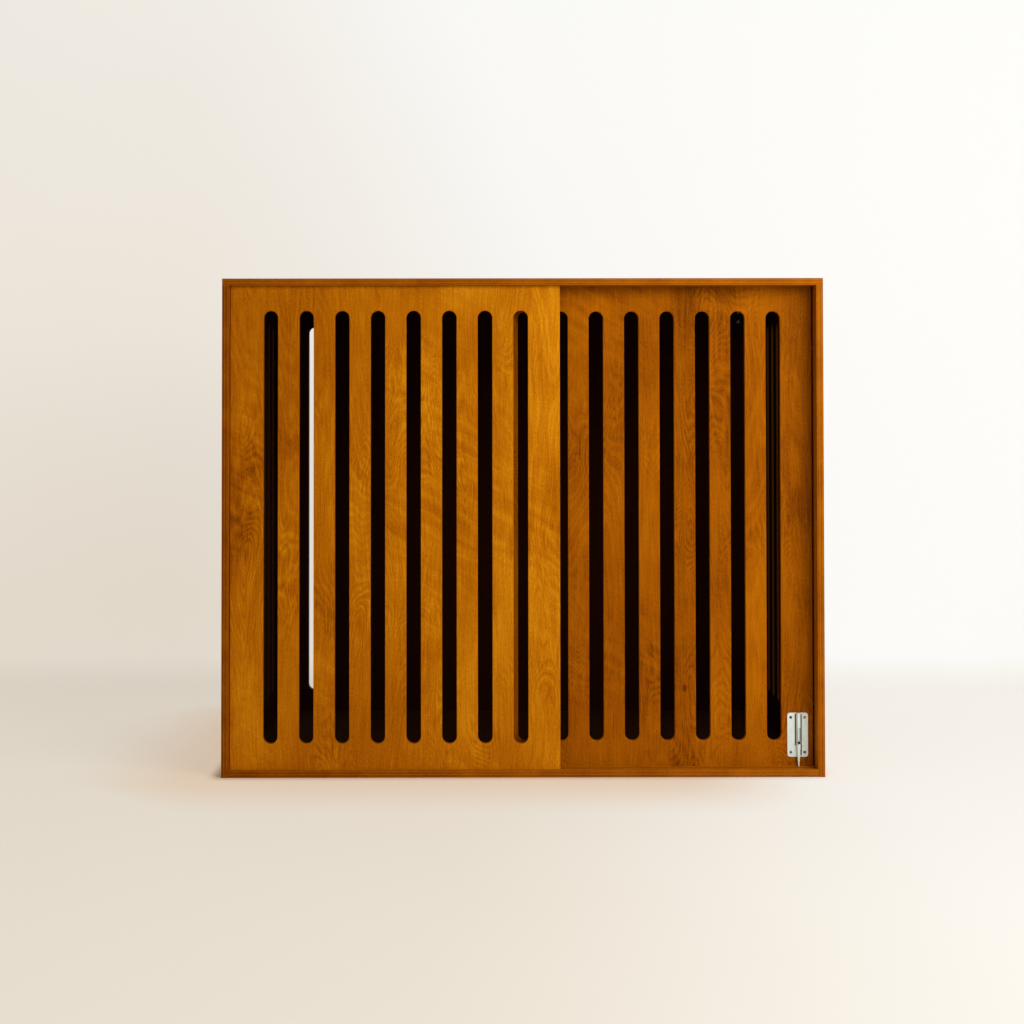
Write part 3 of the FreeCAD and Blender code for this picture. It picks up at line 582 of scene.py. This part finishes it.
def speckled(name, colour, darker, roughness, scale, specular=0.5):
    """A plain moulded or turned surface with a fine speckle."""
    shader = Shader(name)
    grains = shader.noise(shader.place, scale, 3.0, 0.6)
    tint = shader.mix(shader.span(grains, 0.3, 0.7), darker, colour)
    normal = shader.bump(grains, SPECKLE_HEIGHT, SPECKLE_STRENGTH)
    rough = shader.span(grains, 0.2, 0.8, roughness - SPECKLE_ROUGHNESS, roughness + SPECKLE_ROUGHNESS)
    return shader.finish(tint, rough, normal, specular=specular)


def screws_each_own_colour(name, base):
    """Small screw heads, each with its own colour, and a fine tarnish over them."""
    shader = Shader(name)
    places = shader.split(shader.place)
    right = shader.math("GREATER_THAN", places[0], PLATE_MIDDLE.x)
    high = shader.math("GREATER_THAN", places[2], PLATE_MIDDLE.z)
    upper = shader.mix(right, UPPER_LEFT_SCREW, UPPER_RIGHT_SCREW)
    lower = shader.mix(right, LOWER_LEFT_SCREW, LOWER_RIGHT_SCREW)
    tarnish = shader.noise(shader.place, TARNISH_SCALE, 2.0)
    colour = shader.mix(shader.span(tarnish, 0.35, 0.65, 0.0, 0.35), shader.mix(high, lower, upper), base)
    normal = shader.bump(tarnish, TARNISH_HEIGHT, TARNISH_STRENGTH)
    return shader.finish(colour, shader.span(tarnish, 0.3, 0.7, 0.42, 0.55), normal, metallic=0.3)


BARREL_LOW, BARREL_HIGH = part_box("bolt_barrel")
BARREL_MIDDLE = (BARREL_LOW + BARREL_HIGH) / 2
# Painted shade in the barrel's bore: within this radius of its middle the barrel is near black.
BORE_RADIUS = 3.1 * MM
BORE_SHADE = (BARREL_MIDDLE.x, BARREL_MIDDLE.y, BORE_RADIUS, linear(44, 40, 34))

PLATE_STEEL = brushed_steel("plate_steel", linear(214, 222, 214), 0.45, 0.5)
BARREL_STEEL = brushed_steel("barrel_steel", linear(222, 233, 227), 0.36, 0.2, BORE_SHADE)
ROD_STEEL = brushed_steel("rod_steel", linear(228, 237, 229), 0.34, 0.2)
KNOB_STEEL = brushed_steel("knob_steel", linear(52, 47, 40), 0.5)
BRACKET_STEEL = speckled("bracket_black", linear(24, 20, 17), linear(15, 12, 10), 0.6, 900.0, 0.2)
SCREW_STEEL = brushed_steel("screw_steel", linear(216, 214, 206), 0.36)
BOLT_SCREW_STEEL = screws_each_own_colour("bolt_screw_steel", linear(150, 146, 136))
STOP_RUBBER = speckled("stop_rubber", linear(30, 29, 28), linear(20, 19, 18), 0.7, 900.0, 0.3)
GLIDE_NYLON = speckled("glide_nylon", linear(222, 216, 200), linear(208, 200, 182), 0.45, 700.0)
DOWEL_BEECH = speckled("dowel_beech", linear(206, 168, 118), linear(186, 146, 96), 0.6, 400.0, 0.3)

dress(PLATE_STEEL, "bolt_base_plate")
dress(BARREL_STEEL, "bolt_barrel")
dress(ROD_STEEL, "bolt_rod", "bolt_tip_pin")
dress(KNOB_STEEL, "bolt_knob")
dress(BRACKET_STEEL, "corner_brackets")
dress(SCREW_STEEL, "bracket_wall_screws", "bracket_board_screws")
dress(BOLT_SCREW_STEEL, "bolt_screws")
dress(STOP_RUBBER, "left_stops", "right_stops")
dress(GLIDE_NYLON, "front_door_glides", "rear_door_glides")
dress(DOWEL_BEECH, "top_dowels", "bottom_dowels", "back_dowels")


# ------------------------------------------------------------------ studio

# The paper's colours: the cream ones are where the painted light is dimmest, on the left.
WALL_WHITE = linear(251, 251, 249)
WALL_CREAM = linear(236, 227, 213)
FLOOR_WHITE = linear(245, 242, 235)
FLOOR_CREAM = linear(235, 226, 212)
# Painted warm shade round the case's foot, as of light bounced off the wood.
FLOOR_PAINTED_WARM_SHADE = linear(231, 209, 185)
WALL_GLOW = 0.85
FLOOR_GLOW = 0.75

# Where the paper gets paler as painted light, from left to right and up the wall, how much it does going
# up, and where along the case the painted warm shade round its foot ends.
FLOOR_PAINTED_LIGHT = (-0.2, 0.7)
WALL_PAINTED_LIGHT = (-0.9, 0.6)
WALL_PAINTED_LIGHT_UP = (0.2, 1.6)
UPWARD_SHARE = 0.5
PAINTED_WARM_SHADE_ENDS = (0.25, 0.50)
PAPER_CLOUDS = 1.2
CLOUD_SHARE = 0.05

# How far round the case the paper has the painted warm shade, and how far it doesn't glow.
PAINTED_WARM_SHADE_FADE = 0.30
GLOW_FADE = 0.03

WALL_Y = 0.78
SWEEP_RADIUS = 0.14
SWEEP_STEPS = 12
STUDIO_HALF_WIDTH = 4.0
STUDIO_HEIGHT = 4.0
STUDIO_FRONT = -5.0
STUDIO_BACK = 5.0

LAMP_WHITE = (1.0, 0.98, 0.95)
KEY_PLACE = (1.75, -2.1, 1.75)
KEY_TARGET = (0.05, -0.1, 0.42)
KEY_SIZE = (2.0, 1.4)
KEY_POWER = 80.0
FILL_PLACE = (-2.6, -2.8, 1.2)
FILL_TARGET = (0.0, -0.1, 0.4)
FILL_SIZE = (2.2, 2.0)
FILL_POWER = 10.0
AMBIENT_WHITE = (1.0, 0.985, 0.96, 1.0)
AMBIENT_STRENGTH = 0.30


def off_the_case(shader, fade):
    """0 over the case's footprint, up to 1 at this distance from it."""
    case_low, case_high = cad_box
    beside = []
    for place, low, high in zip(shader.split(shader.place)[:2], case_low, case_high):
        beside.append(shader.span(place, low - fade, low, 1.0, 0.0, smooth=True))
        beside.append(shader.span(place, high, high + fade, 0.0, 1.0, smooth=True))
    return shader.span(shader.add(*beside), 0.0, 1.0)


def seen_directly(nodes):
    """1 for the rays that show a thing itself, also in metal or glass, and 0 for those that light it."""
    rays = nodes.new("ShaderNodeLightPath").outputs
    seen = nodes.larger(rays["Is Camera Ray"], rays["Is Glossy Ray"])
    return nodes.larger(seen, rays["Is Transmission Ray"])


def lit_paper(shader, colour, share):
    """The shader of matt paper that also glows a little wherever it is looked at, so that its shadows
    stay light."""
    matt = shader.new("ShaderNodeBsdfDiffuse")
    shader.feed(matt.inputs["Color"], colour)
    glow = shader.new("ShaderNodeEmission")
    shader.feed(glow.inputs["Color"], colour)
    return shader.blend(shader.times(seen_directly(shader), share), matt.outputs[0], glow.outputs[0])


def painted_light_towards(shader, low, high):
    """Painted light: how much paler the paper gets from one x to another, with a faint drift of its own.
    """
    x = shader.split(shader.place)[0]
    cloud = shader.noise(shader.place, PAPER_CLOUDS, 2.0)
    return shader.add(shader.span(x, low, high, smooth=True), shader.sway(cloud, 0.2, CLOUD_SHARE))


def floor_paper(shader):
    # Painted light: cream on the left, white on the right.
    return shader.mix(painted_light_towards(shader, *FLOOR_PAINTED_LIGHT), FLOOR_CREAM, FLOOR_WHITE)


def floor_shader():
    """The floor's paper, with painted warm shade round the case's foot, and darker where the case stands
    on it.
    """
    shader = Shader("studio_floor")
    x = shader.split(shader.place)[0]
    # Painted warm shade round the case's foot, fading out towards the right.
    painted_warm_shade = shader.times(shader.between(off_the_case(shader, PAINTED_WARM_SHADE_FADE), 1.0, 0.0),
                          shader.span(x, *PAINTED_WARM_SHADE_ENDS, 1.0, 0.0, smooth=True))
    colour = shader.mix(painted_warm_shade, floor_paper(shader), FLOOR_PAINTED_WARM_SHADE)
    share = shader.times(off_the_case(shader, GLOW_FADE), FLOOR_GLOW)
    return shader.end(lit_paper(shader, colour, share))


def wall_shader():
    """The wall's paper. It is there only for those who look at its front, and it holds back no light."""
    shader = Shader("studio_wall")
    z = shader.split(shader.place)[2]
    # Painted light: paler to the right and higher up.
    upwards = shader.span(z, *WALL_PAINTED_LIGHT_UP, 0.0, UPWARD_SHARE)
    pale = shader.add(painted_light_towards(shader, *WALL_PAINTED_LIGHT), upwards)
    upright = shader.span(z, 0.0, SWEEP_RADIUS / 2, smooth=True)
    colour = shader.mix(upright, floor_paper(shader), shader.mix(pale, WALL_CREAM, WALL_WHITE))
    paper = lit_paper(shader, colour, shader.between(upright, FLOOR_GLOW, WALL_GLOW))
    clear = shader.new("ShaderNodeBsdfTransparent")
    sides = shader.new("ShaderNodeNewGeometry")
    rays = shader.new("ShaderNodeLightPath")
    passing = shader.larger(sides.outputs["Backfacing"], rays.outputs["Is Shadow Ray"])
    return shader.end(shader.blend(passing, paper, clear.outputs[0]))


def paper_sheet(name, profile, material):
    """A sheet as wide as the studio, along a profile of (y, z) points."""
    shape = bmesh.new()
    left, right = [[shape.verts.new((x, y, z)) for y, z in profile]
                   for x in (-STUDIO_HALF_WIDTH, STUDIO_HALF_WIDTH)]
    for left_low, left_high, right_low, right_high in zip(left, left[1:], right, right[1:]):
        face = shape.faces.new((left_low, right_low, right_high, left_high))
        face.smooth = True
    mesh = bpy.data.meshes.new(name)
    shape.to_mesh(mesh)
    shape.free()
    mesh.materials.append(material)
    sheet = bpy.data.objects.new(name, mesh)
    bpy.context.scene.collection.objects.link(sheet)


def backdrop():
    """A floor that runs on all round, and behind the object a wall that curves up out of it."""
    paper_sheet("studio_floor", [(STUDIO_FRONT, 0.0), (STUDIO_BACK, 0.0)], floor_shader())
    profile = []
    for step in range(SWEEP_STEPS + 1):
        angle = math.radians(90) * step / SWEEP_STEPS
        profile.append((WALL_Y - SWEEP_RADIUS + SWEEP_RADIUS * math.sin(angle),
                        SWEEP_RADIUS - SWEEP_RADIUS * math.cos(angle)))
    profile.append((WALL_Y, STUDIO_HEIGHT))
    paper_sheet("studio_wall", profile, wall_shader())


def area_light(name, place, target, size, power):
    lamp = bpy.data.lights.new(name, "AREA")
    lamp.shape = "RECTANGLE"
    lamp.size, lamp.size_y = size
    lamp.energy = power
    lamp.color = LAMP_WHITE
    holder = bpy.data.objects.new(name, lamp)
    holder.location = place
    holder.rotation_euler = (Vector(target) - Vector(place)).to_track_quat("-Z", "Y").to_euler()
    bpy.context.scene.collection.objects.link(holder)


def surroundings():
    """A weak even light from all round, which looks white where the paper ends."""
    world = bpy.data.worlds.new("studio")
    bpy.context.scene.world = world
    world.use_nodes = True
    nodes = Nodes(world.node_tree)
    ambient = world.node_tree.nodes["Background"]
    ambient.inputs["Color"].default_value = AMBIENT_WHITE
    ambient.inputs["Strength"].default_value = AMBIENT_STRENGTH
    white = nodes.new("ShaderNodeBackground")
    white.inputs["Color"].default_value = WALL_WHITE
    white.inputs["Strength"].default_value = 1.0
    sky = nodes.blend(seen_directly(nodes), ambient.outputs[0], white.outputs[0])
    nodes.feed(world.node_tree.nodes["World Output"].inputs[0], sky)


def studio():
    backdrop()
    area_light("key", KEY_PLACE, KEY_TARGET, KEY_SIZE, KEY_POWER)
    area_light("fill", FILL_PLACE, FILL_TARGET, FILL_SIZE, FILL_POWER)
    surroundings()


# ------------------------------------------------------------------ camera

# The view that fits the corners of the case and the ends of the slots in the photograph.
CAMERA_PLACE = Vector((-0.024386, -3.315565, 0.630521))
CAMERA_PITCH = 0.02011
CAMERA_YAW = -0.00229
CAMERA_ROLL = -0.00116
CAMERA_LENS = 61.126
CAMERA_SENSOR = 36.0
CAMERA_SHIFT_X = -0.00065
CAMERA_SHIFT_Y = -0.13201


def camera():
    forward = Vector((-math.sin(CAMERA_YAW) * math.cos(CAMERA_PITCH),
                      math.cos(CAMERA_YAW) * math.cos(CAMERA_PITCH),
                      math.sin(CAMERA_PITCH)))
    level = Vector((math.cos(CAMERA_YAW), math.sin(CAMERA_YAW), 0.0))
    rise = level.cross(forward)
    right = level * math.cos(CAMERA_ROLL) + rise * math.sin(CAMERA_ROLL)
    up = rise * math.cos(CAMERA_ROLL) - level * math.sin(CAMERA_ROLL)
    lens = bpy.data.cameras.new("camera")
    lens.sensor_width = CAMERA_SENSOR
    lens.lens = CAMERA_LENS
    lens.shift_x = CAMERA_SHIFT_X
    lens.shift_y = CAMERA_SHIFT_Y
    holder = bpy.data.objects.new("camera", lens)
    turned = Matrix((right, up, -forward)).transposed()
    holder.matrix_world = Matrix.Translation(CAMERA_PLACE) @ turned.to_4x4()
    bpy.context.scene.collection.objects.link(holder)
    bpy.context.scene.camera = holder


studio()
camera()
bpy.context.scene.view_settings.view_transform = "Standard"
